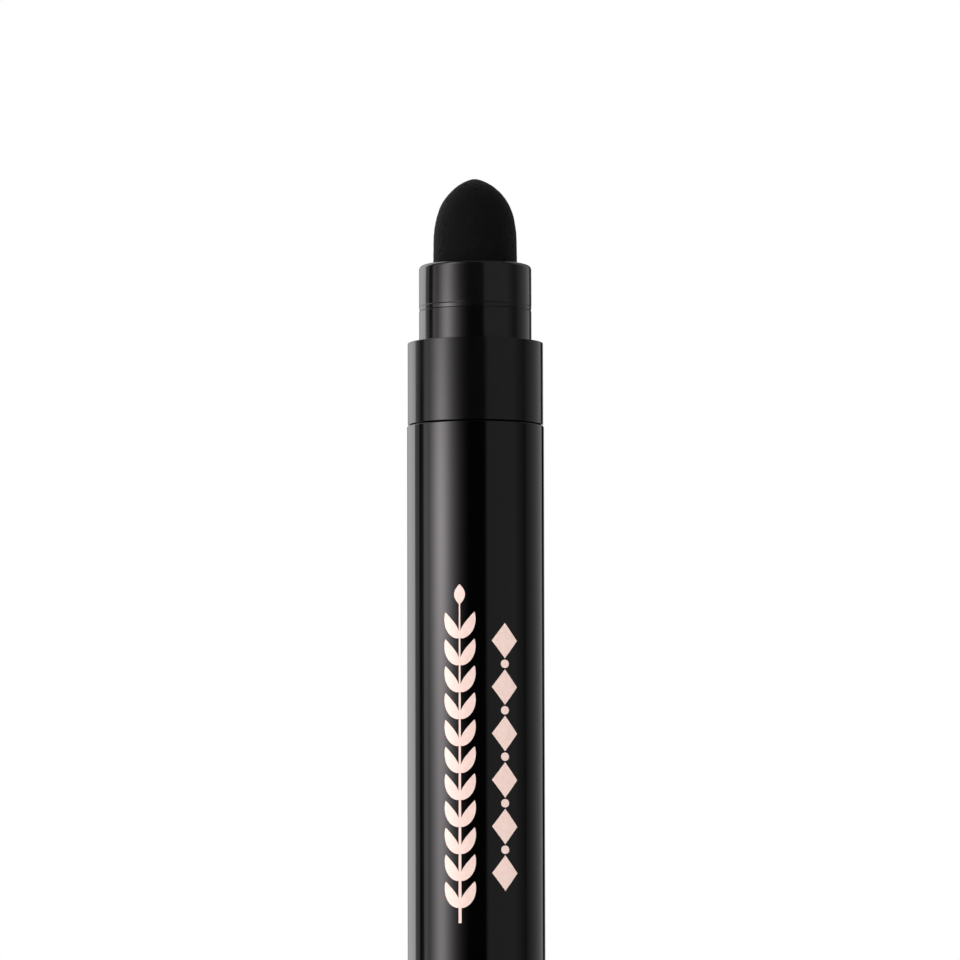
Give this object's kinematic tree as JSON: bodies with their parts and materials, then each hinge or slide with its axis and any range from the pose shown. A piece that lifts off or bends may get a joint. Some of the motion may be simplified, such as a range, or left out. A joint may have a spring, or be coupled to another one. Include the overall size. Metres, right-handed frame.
{
  "type": "retractable eyeliner pencil",
  "caption": "Slim round retractable eyeliner pencil standing in its lead cap: a twist collar with a foam smudger winds a soft lead out of a tapered nose.",
  "frame": {"origin": "middle of the flat closed end of the lead cap, on which the pencil stands", "axes": "+Z along the pencil, from the lead cap up to the foam smudger; X and Y are across it"},
  "size_m": [0.009, 0.009, 0.137],
  "materials": {
    "gloss_black": "gloss moulded black plastic",
    "satin_black": "satin moulded black plastic",
    "natural_acetal": "natural milky moulded plastic",
    "black_rubber": "matte black sealing rubber",
    "black_foam": "matte black cosmetic foam",
    "black_lead": "soft waxy black lead",
    "rose_gold_foil": "satin rose-gold stamped foil"
  },
  "bodies": {
    "lead_cap": {"cap_shell": "gloss_black", "cap_end_plug": "satin_black", "cap_liner": "natural_acetal"},
    "barrel": {"barrel_tube": "gloss_black", "neck_sleeve": "satin_black", "neck_o_ring": "black_rubber", "nose_cone": "gloss_black", "guide_tube": "natural_acetal", "sleeve_stop_ring": "natural_acetal", "rear_bush": "natural_acetal"},
    "twist_knob": {"spiral_sleeve": "natural_acetal", "drive_tube": "natural_acetal", "damping_o_ring": "black_rubber", "smudger_holder": "gloss_black", "twist_collar": "gloss_black", "tip_ferrule": "gloss_black", "smudger_tip": "black_foam"},
    "lead_carriage": {"push_rod": "natural_acetal", "lead_cup": "natural_acetal", "lead": "black_lead"}
  },
  "joints": [
    {"name": "cap_pull", "type": "slide", "parent": "lead_cap", "child": "barrel", "axis": [0, 0, 1], "range_m": [0, 0.055]},
    {"name": "collar_twist", "type": "hinge", "parent": "barrel", "child": "twist_knob", "pos_m": [0, 0, 0.12064], "axis": [0, 0, -1], "range_deg": [0, 1080]},
    {"name": "lead_feed", "type": "slide", "parent": "barrel", "child": "lead_carriage", "axis": [0, 0, -1], "range_m": [0, 0.024]}
  ],
  "couplings": [
    {"joint": "collar_twist", "follows": "lead_feed", "rad_per_m": 785.39}
  ]
}
